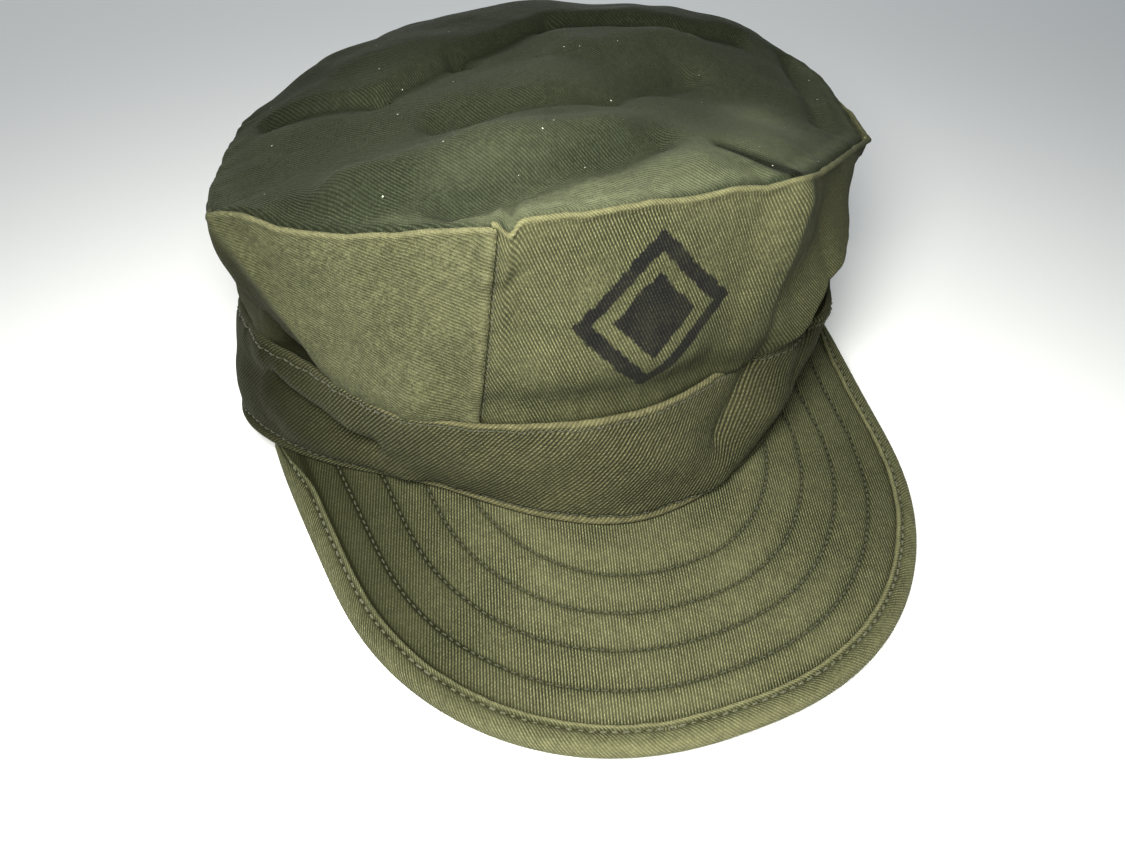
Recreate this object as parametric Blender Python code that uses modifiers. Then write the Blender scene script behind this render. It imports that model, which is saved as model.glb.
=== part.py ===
"""Eight-pointed cloth utility cap: an octagonal crown on a headband, with a stitched visor.

The cap lies as it does on a table, on the back of its headband and the rim of its visor.
The visor points towards -Y and +Z is up. Sizes are in metres, and an angle round the cap
is 0 at the middle of the visor and grows towards +X.
"""

from math import cos, pi, radians, sin

import bmesh
import bpy
from mathutils import Vector

# Cloth, board, thread and the gap left between neighbouring pieces.
CLOTH = 0.0007
BAND_CLOTH = 0.0012
BOARD = 0.0012
THREAD_RADIUS = 0.0003
GAP = 0.00035

# Headband: an oval, wider than it is deep, as a soft cap lies when nobody wears it.
BAND_HALF_WIDTH = 0.098
BAND_HALF_DEPTH = 0.089
BAND_TOP_HALF_WIDTH = 0.094
BAND_TOP_HALF_DEPTH = 0.086
BAND_HEIGHT = 0.034
BAND_UPRIGHT = BAND_HEIGHT / 3
BAND_SEGMENTS = 64
BAND_STITCH_INSET = 0.003
SWEATBAND_HEIGHT = 0.030
SWEATBAND_INSET = 0.0018

# Visor: sewn under the front of the headband, arched from side to side and sloping down.
VISOR_HALF_ANGLE = radians(71)
VISOR_REACH = 0.065
VISOR_HALF_WIDTH = 0.0965
VISOR_SQUARENESS = 2.3
VISOR_RISE = 0.011
VISOR_ARCH = 1.1
VISOR_TUCK = 0.0030
VISOR_SPAN = 0.985
VISOR_EDGE_SLACK = 0.0003
VISOR_COLUMNS = 36
VISOR_ROWS = 9
BINDING_WIDTH = 0.0062
BINDING_MOST_SHARE = 0.45
BINDING_CURVE = 0.001
BINDING_STITCH_INSET = 0.0048
STITCH_ROWS = 4
FIRST_ROW_INSET = 0.014
ROW_SPACING = 0.010
FOOT_EASE = radians(45)

# Crown: eight corners on an oval, a little behind the headband's middle, the front ones highest.
POINTS = 8
CROWN_HALF_WIDTH = 0.100
CROWN_HALF_DEPTH = 0.090
CROWN_SET_BACK = 0.004
CROWN_HEIGHT = 0.088
CROWN_LEAN = 0.138
CROWN_DOME = 0.009
CROWN_ROLL = 0.0030
ROLL_OUT = 0.0018
TOP_RINGS = 6
SIDE_COLUMNS = 6
PANEL_ROWS = 4
PANEL_BULGE = 0.002
SEAM_GAP = 0.006

# Heights of the visor's layers above its underside.
BOTTOM_COVER_AT = CLOTH / 2
BOARD_AT = CLOTH + GAP + BOARD / 2
TOP_COVER_AT = CLOTH + GAP + BOARD + GAP + CLOTH / 2
VISOR_THICKNESS = TOP_COVER_AT + CLOTH / 2
BINDING_TOP_AT = VISOR_THICKNESS + GAP + CLOTH / 2
BINDING_BOTTOM_AT = -GAP - CLOTH / 2
BINDING_DROP = GAP + CLOTH
VISOR_SLOPE = (VISOR_RISE - BINDING_DROP) / VISOR_REACH
THREAD_OFF = GAP + THREAD_RADIUS

# The cap's bounding box is centred on the origin by moving everything back this far.
BACKMOST = BAND_HALF_DEPTH + BAND_CLOTH / 2 + THREAD_OFF + THREAD_RADIUS
MOVE_BACK = (BAND_HALF_DEPTH + VISOR_REACH - BACKMOST) / 2

PANEL_NAMES = ("front", "right", "rear", "left")


def clear_scene():
    for thing in list(bpy.data.objects):
        bpy.data.objects.remove(thing)


def linear(channel):
    """One sRGB channel, 0 to 255, as the shader's linear value."""
    value = channel / 255
    return value / 12.92 if value <= 0.04045 else ((value + 0.055) / 1.055) ** 2.4


def cloth_material(name, colour, roughness=0.9):
    material = bpy.data.materials.new(name)
    material.use_nodes = True
    shader = material.node_tree.nodes["Principled BSDF"]
    shader.inputs["Base Color"].default_value = (*(linear(c) for c in colour), 1)
    shader.inputs["Roughness"].default_value = roughness
    shader.inputs["Metallic"].default_value = 0
    return material


def add_part(collection, name, data, material):
    part = bpy.data.objects.new(name, data)
    data.materials.append(material)
    collection.objects.link(part)
    return part


def sheet(collection, name, size, place, thickness, material, weld=False):
    """A grid of size (columns, rows) laid over place(u, v) and thickened on both sides."""
    cage = bmesh.new()
    bmesh.ops.create_grid(cage, x_segments=size[0], y_segments=size[1], size=0.5)
    for vertex in cage.verts:
        vertex.co = place(vertex.co.x + 0.5, vertex.co.y + 0.5)
    if weld:
        bmesh.ops.remove_doubles(cage, verts=cage.verts, dist=1e-6)
    mesh = bpy.data.meshes.new(name)
    cage.to_mesh(mesh)
    cage.free()
    part = add_part(collection, name, mesh, material)
    solid = part.modifiers.new("Thickness", "SOLIDIFY")
    solid.thickness = thickness
    solid.offset = 0
    return part


def thread(collection, name, points, material, closed=False):
    """A run of stitching, as one thin cord through the points."""
    curve = bpy.data.curves.new(name, "CURVE")
    curve.dimensions = "3D"
    curve.bevel_depth = THREAD_RADIUS
    curve.bevel_resolution = 0
    curve.use_fill_caps = not closed
    line = curve.splines.new("POLY")
    line.points.add(len(points) - 1)
    for spot, point in zip(line.points, points):
        spot.co = (*point, 1)
    line.use_cyclic_u = closed
    return add_part(collection, name, curve, material)


def spread(count, start, end):
    """count values, evenly spaced, with both ends."""
    return [start + (end - start) * step / (count - 1) for step in range(count)]


def oval(angle, half_width, half_depth):
    return half_width * sin(angle), -half_depth * cos(angle)


def visor_underside(x, y):
    """Height of the visor's lower face, which falls forwards and to both sides."""
    return VISOR_RISE - VISOR_ARCH * x * x + VISOR_SLOPE * (y + BAND_HALF_DEPTH)


def band_foot(angle):
    """Height of the headband's lower edge: on the visor in front, on the table behind."""
    away = abs((angle + pi) % (2 * pi) - pi)
    side = min(away, VISOR_HALF_ANGLE)
    on_visor = visor_underside(*oval(side, BAND_HALF_WIDTH, BAND_HALF_DEPTH))
    on_visor += VISOR_THICKNESS + GAP
    behind = min(max(away - VISOR_HALF_ANGLE, 0) / FOOT_EASE, 1)
    return on_visor * (1 + cos(pi * behind)) / 2


def band_point(angle, rise, out=0.0):
    """A point on the headband, rise above its lower edge and out from its middle layer.

    The headband stands upright at its foot, so that its lower edge is flat underneath, and
    leans in above.
    """
    share = max(rise - BAND_UPRIGHT, 0) / (BAND_HEIGHT - BAND_UPRIGHT)
    half_width = BAND_HALF_WIDTH + (BAND_TOP_HALF_WIDTH - BAND_HALF_WIDTH) * share + out
    half_depth = BAND_HALF_DEPTH + (BAND_TOP_HALF_DEPTH - BAND_HALF_DEPTH) * share + out
    return Vector((*oval(angle, half_width, half_depth), band_foot(angle) + rise))


def visor_edge(side, inset=0.0):
    """The visor's outline, moved in by inset. side runs from -1 at the left to 1."""
    power = 2 / VISOR_SQUARENESS
    across = abs(sin(side * pi / 2)) ** power
    ahead = abs(cos(side * pi / 2)) ** power
    end_y = -BAND_HALF_DEPTH * cos(VISOR_HALF_ANGLE)
    length = BAND_HALF_DEPTH + VISOR_REACH + end_y
    x = (VISOR_HALF_WIDTH - inset) * (across if side >= 0 else -across)
    return Vector((x, end_y - (length - inset) * ahead))


def visor_root(side):
    """The visor's inner edge, tucked under the headband."""
    angle = side * VISOR_HALF_ANGLE
    return Vector(oval(angle, BAND_HALF_WIDTH - VISOR_TUCK, BAND_HALF_DEPTH - VISOR_TUCK))


def on_visor(spot, above):
    return Vector((spot.x, spot.y, visor_underside(spot.x, spot.y) + above))


def visor_layer_place(above, edge_inset):
    """place(u, v) for a layer of the visor that stops short of the outline."""

    def place(u, v):
        side = (2 * u - 1) * VISOR_SPAN
        spot = visor_root(side).lerp(visor_edge(side, edge_inset), v)
        return on_visor(spot, above)

    return place


def binding_width(side):
    """The binding narrows where the visor tapers into the headband."""
    room = (visor_edge(side) - visor_root(side)).length
    return min(BINDING_WIDTH, BINDING_MOST_SHARE * room)


def binding_place(u, v):
    """place(u, v) round the visor's rim: over the top, down the edge and back beneath."""
    side = (2 * u - 1) * VISOR_SPAN
    inner = binding_width(side)
    edge = CLOTH / 2
    turn_in = edge + BINDING_CURVE
    insets = (inner, inner / 2, turn_in, edge, edge, turn_in, inner / 2, inner)
    middle = (BINDING_TOP_AT + BINDING_BOTTOM_AT) / 2
    half = (BINDING_TOP_AT - BINDING_BOTTOM_AT) / 2
    heights = (half, half, half, half / 2, -half / 2, -half, -half, -half)
    step = round(v * (len(insets) - 1))
    return on_visor(visor_edge(side, insets[step]), middle + heights[step])


def outside_band(spot, clearance):
    wide = BAND_HALF_WIDTH + clearance
    deep = BAND_HALF_DEPTH + clearance
    return (spot.x / wide) ** 2 + (spot.y / deep) ** 2 > 1


def row_reach(inset):
    """How far to each side a row of stitches runs before it meets the headband."""
    low, high = 0.0, 1.0
    for _ in range(30):
        middle = (low + high) / 2
        if outside_band(visor_edge(middle, inset), 0.003):
            low = middle
        else:
            high = middle
    return low


def visor_row(inset, above, count):
    reach = row_reach(inset)
    return [on_visor(visor_edge(side, inset), above) for side in spread(count, -reach, reach)]


def crown_corner(number, out=0.0):
    angle = (number - 0.5) * 2 * pi / POINTS
    x, y = oval(angle, CROWN_HALF_WIDTH + out, CROWN_HALF_DEPTH + out)
    return Vector((x, y + CROWN_SET_BACK, CROWN_HEIGHT - CROWN_LEAN * y))


def crown_edge(turn, out=0.0):
    """The crown's octagon. turn counts corners, from 0 at the front left."""
    number = int(turn)
    return crown_corner(number, out).lerp(crown_corner(number + 1, out), turn - number)


def crown_top_place(u, v):
    """place(u, v) from the middle of the top (v = 0) to the foot of the rolled edge."""
    ring = v * (TOP_RINGS + 1)
    edge = crown_edge(u * POINTS, ROLL_OUT)
    if ring > TOP_RINGS + 0.5:
        return edge - Vector((0, 0, CROWN_ROLL))
    share = ring / TOP_RINGS
    middle = Vector((0, CROWN_SET_BACK, CROWN_HEIGHT))
    lift = CROWN_DOME * (1 - share * share)
    return middle.lerp(edge, share) + Vector((0, 0, lift))


def side_crown(turn, share, out=0.0):
    """A point on the side crown, share of the way up from the headband to the top."""
    angle = (turn - 0.5) * 2 * pi / POINTS
    foot = band_point(angle, BAND_HEIGHT) + Vector((0, 0, 2 * GAP))
    head = crown_edge(turn) - Vector((0, 0, CLOTH / 2 + 2 * GAP))
    away = Vector((sin(angle), -cos(angle), 0))
    return foot.lerp(head, share) + away * (PANEL_BULGE * sin(pi * share) + out)


def side_panel_place(first):
    """place(u, v) for the side panel whose left seam is at corner first."""

    def place(u, v):
        return side_crown(first + SEAM_GAP + (2 - 2 * SEAM_GAP) * u, v)

    return place


def build_crown(collection):
    top_cloth = cloth_material("crown_top_cloth", (84, 90, 64))
    side_cloth = cloth_material("side_crown_cloth", (118, 118, 82))
    stitching = cloth_material("crown_thread", (96, 98, 68), 0.8)
    size = (POINTS * SIDE_COLUMNS, TOP_RINGS + 1)
    sheet(collection, "crown_top", size, crown_top_place, CLOTH, top_cloth, weld=True)
    for number, name in enumerate(PANEL_NAMES):
        place = side_panel_place(2 * number)
        size = (2 * SIDE_COLUMNS, PANEL_ROWS)
        sheet(collection, f"side_panel_{name}", size, place, CLOTH, side_cloth)
        out = CLOTH / 2 + THREAD_OFF
        seam = [side_crown(2 * number, share, out) for share in spread(7, 0.04, 0.92)]
        thread(collection, f"side_seam_stitch_{number + 1}", seam, stitching)
    drop = Vector((0, 0, CROWN_ROLL / 2))
    out = ROLL_OUT + (CLOTH / 2 + THREAD_OFF) / cos(pi / POINTS)
    edge = [crown_edge(step / 2, out) - drop for step in range(2 * POINTS)]
    thread(collection, "crown_edge_stitch", edge, stitching, closed=True)


def build_bands(collection):
    band_cloth = cloth_material("headband_cloth", (94, 96, 64))
    sweat_cloth = cloth_material("sweatband_cloth", (104, 106, 78))
    stitching = cloth_material("headband_thread", (88, 90, 60), 0.8)

    def headband_place(u, v):
        return band_point(2 * pi * u, BAND_HEIGHT * v)

    def sweatband_place(u, v):
        return band_point(2 * pi * u, GAP + SWEATBAND_HEIGHT * v, -SWEATBAND_INSET)

    size = (BAND_SEGMENTS, 3)
    sheet(collection, "headband", size, headband_place, BAND_CLOTH, band_cloth, weld=True)
    sheet(collection, "sweatband", size, sweatband_place, CLOTH, sweat_cloth, weld=True)
    out = BAND_CLOTH / 2 + THREAD_OFF
    rises = {"top": BAND_HEIGHT - BAND_STITCH_INSET, "bottom": BAND_STITCH_INSET}
    for edge, rise in rises.items():
        steps = range(BAND_SEGMENTS)
        ring = [band_point(2 * pi * step / BAND_SEGMENTS, rise, out) for step in steps]
        thread(collection, f"headband_{edge}_stitch", ring, stitching, closed=True)


def build_visor(collection):
    cloth = cloth_material("visor_cloth", (92, 95, 64))
    under_cloth = cloth_material("visor_under_cloth", (100, 103, 72))
    board = cloth_material("visor_board", (196, 188, 166), 0.7)
    tape = cloth_material("visor_binding_cloth", (112, 112, 74))
    stitching = cloth_material("visor_thread", (66, 68, 46), 0.8)
    size = (VISOR_COLUMNS, VISOR_ROWS)
    inset = CLOTH + GAP + VISOR_EDGE_SLACK
    layers = (
        ("visor_bottom_cover", BOTTOM_COVER_AT, CLOTH, under_cloth),
        ("visor_stiffener", BOARD_AT, BOARD, board),
        ("visor_top_cover", TOP_COVER_AT, CLOTH, cloth),
    )
    for name, above, thickness, material in layers:
        sheet(collection, name, size, visor_layer_place(above, inset), thickness, material)
    size = (VISOR_COLUMNS, 7)
    sheet(collection, "visor_binding", size, binding_place, CLOTH, tape)
    above = VISOR_THICKNESS + THREAD_OFF
    for number in range(STITCH_ROWS):
        points = visor_row(FIRST_ROW_INSET + number * ROW_SPACING, above, 25)
        thread(collection, f"visor_stitch_row_{number + 1}", points, stitching)
    above = BINDING_TOP_AT + CLOTH / 2 + THREAD_OFF
    points = visor_row(BINDING_STITCH_INSET, above, 33)
    thread(collection, "visor_binding_stitch", points, stitching)


def centre_on_origin(collection):
    """Hangs every part on an empty that moves the cap's middle onto the origin."""
    empty = bpy.data.objects.new("cap_origin", None)
    empty.location.y = MOVE_BACK
    for part in collection.objects:
        part.parent = empty
    collection.objects.link(empty)


def main():
    clear_scene()
    collection = bpy.data.collections.new("utility_cap")
    bpy.context.scene.collection.children.link(collection)
    build_crown(collection)
    build_bands(collection)
    build_visor(collection)
    centre_on_origin(collection)


main()
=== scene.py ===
"""Looks of the eight-pointed utility cap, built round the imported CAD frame.

Shapes are worked out in the cap's own frame: the middle of the headband is at x = y = 0, the
table at z = 0, the visor points towards -Y and an angle round the cap is 0 at the middle of
the visor and grows towards +X. Sizes are in metres unless a name says millimetres or degrees.
Folds, creases and noise are worked out in millimetres.
"""

import bpy
import numpy as np
from mathutils import Matrix, Vector


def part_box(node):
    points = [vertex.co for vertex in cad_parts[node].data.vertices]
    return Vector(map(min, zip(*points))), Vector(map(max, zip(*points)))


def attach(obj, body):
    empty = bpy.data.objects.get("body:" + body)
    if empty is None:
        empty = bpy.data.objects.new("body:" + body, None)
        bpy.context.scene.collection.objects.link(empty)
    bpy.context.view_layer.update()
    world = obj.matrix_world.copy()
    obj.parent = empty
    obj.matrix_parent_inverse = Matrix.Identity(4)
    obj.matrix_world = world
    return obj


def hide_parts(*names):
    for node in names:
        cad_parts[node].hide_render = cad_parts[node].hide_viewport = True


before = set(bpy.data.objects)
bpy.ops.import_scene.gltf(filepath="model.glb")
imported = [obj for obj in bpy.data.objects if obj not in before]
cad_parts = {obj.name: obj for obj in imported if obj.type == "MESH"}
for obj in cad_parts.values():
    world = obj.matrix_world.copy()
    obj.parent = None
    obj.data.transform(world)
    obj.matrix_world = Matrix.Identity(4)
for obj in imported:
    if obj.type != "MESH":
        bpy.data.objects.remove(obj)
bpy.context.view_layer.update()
BAND_LOW, BAND_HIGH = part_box("headband")
MOVE_BACK = (BAND_LOW.y + BAND_HIGH.y) / 2

MM = 0.001
PI = np.pi

# ---- sizes

CLOTH = 0.0007
BAND_HALF_WIDTH = 0.098
BAND_HALF_DEPTH = 0.089
BAND_TOP_HALF_WIDTH = 0.094
BAND_TOP_HALF_DEPTH = 0.086
BAND_HEIGHT = 0.034
BAND_WALL = 0.0006
HEM_HEIGHT = 0.0024
# The headband's length for each degree round the cap.
MM_PER_DEGREE = 1.6

VISOR_HALF_ANGLE = np.radians(71)
VISOR_REACH = 0.065
VISOR_HALF_WIDTH = 0.0965
VISOR_SQUARENESS = 2.3
VISOR_RISE = 0.011
VISOR_FRONT_RISE = 0.00105
VISOR_ARCH = 1.1
VISOR_SLOPE = (VISOR_RISE - VISOR_FRONT_RISE) / VISOR_REACH
VISOR_THICKNESS = 0.0033
VISOR_TUCK = 0.004
# How far the outline draws in where the visor meets the headband.
VISOR_TAPER_LEFT = 0.0034
VISOR_TAPER_RIGHT = 0.0046
COVER_INSET = 0.0016
BOARD_INSET = 0.0022
BOARD_THICKNESS = 0.0010
TAPE_THICKNESS = 0.0005
BINDING_WIDTH = 0.0063
BINDING_STITCH_INSET = 0.0046
ROW_INSETS = (0.0143, 0.0240, 0.0337, 0.0440)
ROW_SPACING = 0.0097
FOOT_EASE = np.radians(45)

CROWN_HALF_WIDTH = 0.100
CROWN_HALF_DEPTH = 0.090
CROWN_SET_BACK = 0.004
CROWN_HEIGHT = 0.088
CROWN_LEAN = 0.138
FRONT_DOME = 0.010
REAR_DOME = 0.0205
WELT_RADIUS = 0.00085
# One edge of the crown's octagon, and a side panel's height.
EDGE_MM = 75
PANEL_MM = 50

# How far each soft corner of the crown has slumped from its cut place, in millimetres.
CORNER_SLUMP_MM = (
    (0, 3, 2),
    (-1.5, 1.5, 1),
    (-2, -3.5, -11),
    (-4.5, -2.5, 2),
    (7.5, 6, -6),
    (9, -1, -5),
    (11.5, -3, -5),
    (-2, -2, -3.5),
)
# Outward bow and downward sag of the crown's edge between corners, in millimetres.
EDGE_BOW_MM = (0.5, 0.5, 5, 3, 3, 2, 2, 0)
EDGE_SAG_MM = (0, 0, -2, 0, 0, 0, 0, 3)

# ---- unevenness and folds


def bump(value, middle, width):
    return np.exp(-(((value - middle) / width) ** 2))


def smooth(value):
    value = np.clip(value, 0, 1)
    return value * value * (3 - 2 * value)


def mix(a, b, share):
    return a + (b - a) * share


def stack(x, y, z):
    x, y, z = np.broadcast_arrays(x, y, z)
    return np.stack((x, y, z), axis=-1).astype(float)


def degrees_round(angle):
    """The angle in degrees from -180 to 180."""
    return np.degrees((angle + PI) % (2 * PI) - PI)


class Noise:
    """Smooth random unevenness, from about -1 to 1, that repeats after 64 cells."""

    SHIFT = 1000

    def __init__(self, seed, cells=64):
        self.values = np.random.RandomState(seed).uniform(-1.3, 1.3, (cells, cells))
        self.cells = cells

    def __call__(self, x, y, size):
        x = np.asarray(x) / size + self.SHIFT
        y = np.asarray(y) / size + self.SHIFT
        column = np.floor(x).astype(int)
        row = np.floor(y).astype(int)
        u = smooth(x - column)
        v = smooth(y - row)
        n = self.cells
        a = self.values[row % n, column % n]
        b = self.values[row % n, (column + 1) % n]
        c = self.values[(row + 1) % n, column % n]
        d = self.values[(row + 1) % n, (column + 1) % n]
        return mix(mix(a, b, u), mix(c, d, u), v)


WRINKLE = Noise(11)
PUCKER = Noise(23)


def off_line(x, y, start, end, width, steep):
    """Squares of how many widths a spot lies beside a line, and beyond its ends."""
    dx = end[0] - start[0]
    dy = end[1] - start[1]
    length = np.hypot(dx, dy)
    along = ((x - start[0]) * dx + (y - start[1]) * dy) / length
    across = ((y - start[1]) * dx - (x - start[0]) * dy) / length
    beyond = np.maximum(np.maximum(-along, along - length), 0)
    side = np.where(across < 0, width * steep, width)
    return (across / side) ** 2, (beyond / width) ** 2


def fold(x, y, start, end, height, width, steep=1.0):
    """Height of a long fold between two points. Its right-hand side is width * steep wide."""
    beside, beyond = off_line(x, y, start, end, width, steep)
    return height * np.exp(-beside - beyond)


def crease(x, y, start, end, height, width, steep=1.0):
    """Like fold, but with a sharp crest or bottom."""
    beside, beyond = off_line(x, y, start, end, width, steep)
    near = np.sqrt(beside + 0.01) - 0.1
    return height * np.exp(-near - beyond)


def fold_along(x, y, line, height, width, steep=1.0):
    """The folds between each point of a line and the next."""
    ends = zip(line, line[1:])
    return sum(fold(x, y, start, end, height, width, steep) for start, end in ends)


# ---- the cap's shape


def oval(angle, half_width, half_depth):
    return half_width * np.sin(angle), -half_depth * np.cos(angle)


def visor_underside(x, y):
    return VISOR_RISE - VISOR_ARCH * x * x + VISOR_SLOPE * (y + BAND_HALF_DEPTH)


def foot_out(angle):
    """How far the headband's foot has been pushed out from its oval."""
    a = degrees_round(angle)
    push = 5 * bump(a, -2, 15) - 9 * bump(a, -40, 20) - 6.5 * bump(a, 44, 16)
    push += 4.2 * bump(a, -78, 12) - 3 * bump(a, 64, 12)
    return push * MM


def head_out(angle):
    """The same for the headband's upper edge."""
    a = degrees_round(angle)
    push = 3 * bump(a, -36, 14) - 3 * bump(a, -62, 10) - 4 * bump(a, 14, 10)
    push -= 3 * bump(a, 68, 12)
    return push * MM


def foot_spot(angle, out=0.0):
    push = foot_out(angle) + out
    return oval(angle, BAND_HALF_WIDTH + push, BAND_HALF_DEPTH + push)


def band_foot(angle):
    """Height of the headband's lower edge: on the visor in front, on the table behind."""
    away = np.abs((angle + PI) % (2 * PI) - PI)
    side = np.minimum(away, VISOR_HALF_ANGLE)
    x, y = foot_spot(np.where(np.sin(angle) < 0, -side, side))
    on_visor = visor_underside(x, y) + VISOR_THICKNESS + 0.0003
    behind = np.clip((away - VISOR_HALF_ANGLE) / FOOT_EASE, 0, 1)
    return on_visor * (1 + np.cos(PI * behind)) / 2


# The headband's folds and creases over millimetres round and up: start, end, height, width and,
# where one side differs, how steep.
BAND_LINES = (
    # Left: the upper half hangs over a sharp crease.
    (crease, (-110, 24), (-75, 15), -4.6, 2.4, 2.0),
    (fold, (-116, 30), (-80, 24), 2.2, 5.0),
    (fold, (-100, 9), (-66, 4), 1.6, 5.0),
    # Right of the middle: a long pleat from the upper edge down towards the left.
    (fold, (68, 35), (18, 4), 3.0, 9.0, 0.8),
    (fold, (92, 25), (46, 2), -3.4, 9.0),
    (crease, (36, 34), (20, 17), -3.2, 4.0),
    (crease, (58, 34), (48, 22), -3.0, 3.0),
    (fold, (-20, 28), (14, 14), 1.2, 7.0),
)


def band_folds(angle, rise):
    """Creases of the headband: distance out at an angle round the cap and a rise above its foot."""
    x = degrees_round(angle) * MM_PER_DEGREE
    y = rise / MM
    out = 2.0 * bump(y, 17, 14)
    for shape, *line in BAND_LINES:
        out += shape(x, y, *line)
    out += 0.55 * WRINKLE(x, y, 13) + 0.22 * WRINKLE(x + 40, y + 9, 5.5)
    hem = bump(y, 3.2, 2.2) + bump(y, 32, 2.5)
    out += 0.28 * hem * PUCKER(x, y * 0.2, 2.3)
    return out * MM * smooth(y / 4) * smooth((36 - y) / 4)


def band_surface(angle, rise, out=0.0):
    """A point of the headband's middle layer, rise above its foot and out from it."""
    share = rise / BAND_HEIGHT
    push = mix(foot_out(angle), head_out(angle), share) + band_folds(angle, rise) + out
    wide = mix(BAND_HALF_WIDTH, BAND_TOP_HALF_WIDTH, share) + push
    deep = mix(BAND_HALF_DEPTH, BAND_TOP_HALF_DEPTH, share) + push
    x, y = oval(angle, wide, deep)
    return stack(x, y, band_foot(angle) + rise)


def crown_corners():
    """The octagon's corners, from the one at the front left towards the right."""
    angle = (np.arange(8) - 0.5) * PI / 4
    x, y = oval(angle, CROWN_HALF_WIDTH, CROWN_HALF_DEPTH)
    cut = stack(x, y + CROWN_SET_BACK, CROWN_HEIGHT - CROWN_LEAN * y)
    return cut + np.array(CORNER_SLUMP_MM) * MM


CORNERS = crown_corners()


def crown_edge_sharp(turn):
    """The crown's octagon. turn counts corners from the front left towards the right."""
    turn = np.asarray(turn, float) % 8
    number = np.floor(turn).astype(int) % 8
    share = turn - np.floor(turn)
    start = CORNERS[number]
    end = CORNERS[(number + 1) % 8]
    along = end - start
    along = along / np.linalg.norm(along, axis=-1, keepdims=True)
    spot = mix(start, end, share[..., None])
    bow = np.array(EDGE_BOW_MM)[number] * np.sin(PI * share) * MM
    sag = np.array(EDGE_SAG_MM)[number] * np.sin(PI * share) * MM
    spot[..., 0] += along[..., 1] * bow
    spot[..., 1] -= along[..., 0] * bow
    spot[..., 2] -= sag
    return spot


def crown_edge(turn):
    """The same, its corners a little rounded and its cloth a little wavy."""
    turn = np.asarray(turn, float)
    spot = sum(crown_edge_sharp(turn + step * 0.012) for step in (-2, -1, 0, 1, 2)) / 5
    kink = bump((turn + 4) % 8 - 4, 0.045, 0.022)
    wave = 0.5 * WRINKLE(turn * EDGE_MM, 3.0, 11) + 0.2 * WRINKLE(turn * EDGE_MM, 40.0, 4)
    spot[..., 2] += (-2.4 * kink + wave) * MM
    spot[..., 1] -= 0.8 * kink * MM
    left = (turn + 1) % 8
    spot[..., 2] += 2.5 * bump(left, 0.12, 0.12) * MM
    return spot


def rolled_over(turn):
    """1 where the top's cloth rolls over the edge and hides the welt, 0 along the front."""
    turn = np.asarray(turn, float) % 8
    return smooth((turn - 2.1) / 0.4) * smooth((7.0 - turn) / 0.25)


def outward(turn):
    """Unit vector out of the crown's edge, level with the table."""
    step = crown_edge(np.asarray(turn) + 0.06) - crown_edge(np.asarray(turn) - 0.06)
    away = stack(step[..., 1], -step[..., 0], 0)
    return away / np.linalg.norm(away, axis=-1, keepdims=True)


# The slanting fold that ends the flat facet of the left panel, in millimetres round and up.
FACET_HEAD = (-75, 52)
FACET_FOOT = (-44, -2)
FACET_LENGTH = 62


def panel_folds(turn, share):
    """Creases of the side crown: distance out, over corners round and a share of the way up."""
    x = ((turn + 1.5) % 8 - 1.5) * EDGE_MM
    y = share * PANEL_MM
    out = 1.5 * np.sin(PI * np.clip(share, 0, 1))
    # Right of the front: a soft edge at the corner, then a facet bounded by a diagonal ridge.
    out += crease(x, y, (76, 52), (70, 0), 3.2, 7.0)
    inner = smooth((138 - x) / 40)
    out += inner * crease(x, y, (140, 47), (84, 8), 5.2, 7.0, 0.8)
    out += fold(x, y, (104, 40), (84, 22), -2.8, 8.0)
    out -= 6.5 * bump(x, 162, 36) * bump(y, 22, 17)
    out += inner * fold(x, y, (134, 26), (100, 2), -5.5, 9.0)
    # Front: soft dents beside the left seam and along the foot.
    out += fold(x, y, (5, 36), (12, 24), -2.2, 4.5)
    out += fold(x, y, (4, 5), (58, 5), -2.4, 5.0)
    out += fold(x, y, (18, 15), (50, 17), 1.2, 6.0)
    out += fold(x, y, (72, 48), (66, 10), 1.6, 5.0)
    # Left: a flat facet ends at a sharp slanting fold, and the cloth tucks in behind it.
    ridge = smooth(y / 26) * mix(1.0, 0.55, smooth((y - 34) / 14))
    out += ridge * crease(x, y, FACET_HEAD, FACET_FOOT, 3.8, 9.0, 0.8)
    out += fold(x, y, (-90, 30), (-68, 0), -4.5, 9.0)
    out += fold(x, y, (-48, 8), (-14, 5), 2.2, 7.0)
    out += fold(x, y, (-66, 44), (-62, 32), -0.9, 5.0)
    out += 0.6 * WRINKLE(x + 5, y, 16) + 0.25 * WRINKLE(x + 80, y + 30, 7)
    seam = bump((turn + 1) % 2 - 1, 0, 0.05)
    out += 0.25 * seam * PUCKER(x * 0.2, y, 2.6)
    edge = bump(share, 1, 0.08) + bump(share, 0, 0.08)
    out += 0.22 * edge * PUCKER(x, y * 0.2, 2.6)
    return out * MM * smooth((share + 0.1) / 0.15) * smooth((1.05 - share) / 0.15)


def foot_angle(turn):
    """Where round the headband the side crown's foot lies: the front left seam slants."""
    slant = 5.5 * bump((turn + 4) % 8 - 4, 0, 0.9)
    return (turn - 0.5) * PI / 4 - np.radians(slant)


def side_crown(turn, share, out=0.0):
    """A point on the side crown, share of the way up from the headband to the top."""
    turn, share = np.broadcast_arrays(np.asarray(turn, float), np.asarray(share, float))
    angle = foot_angle(turn)
    foot = band_surface(angle, np.full(angle.shape, BAND_HEIGHT - 0.0012), -0.0009)
    head = crown_edge(turn)
    away = outward(turn)
    spot = mix(foot, head, share[..., None])
    return spot + away * (panel_folds(turn, share) + out)[..., None]


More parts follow.
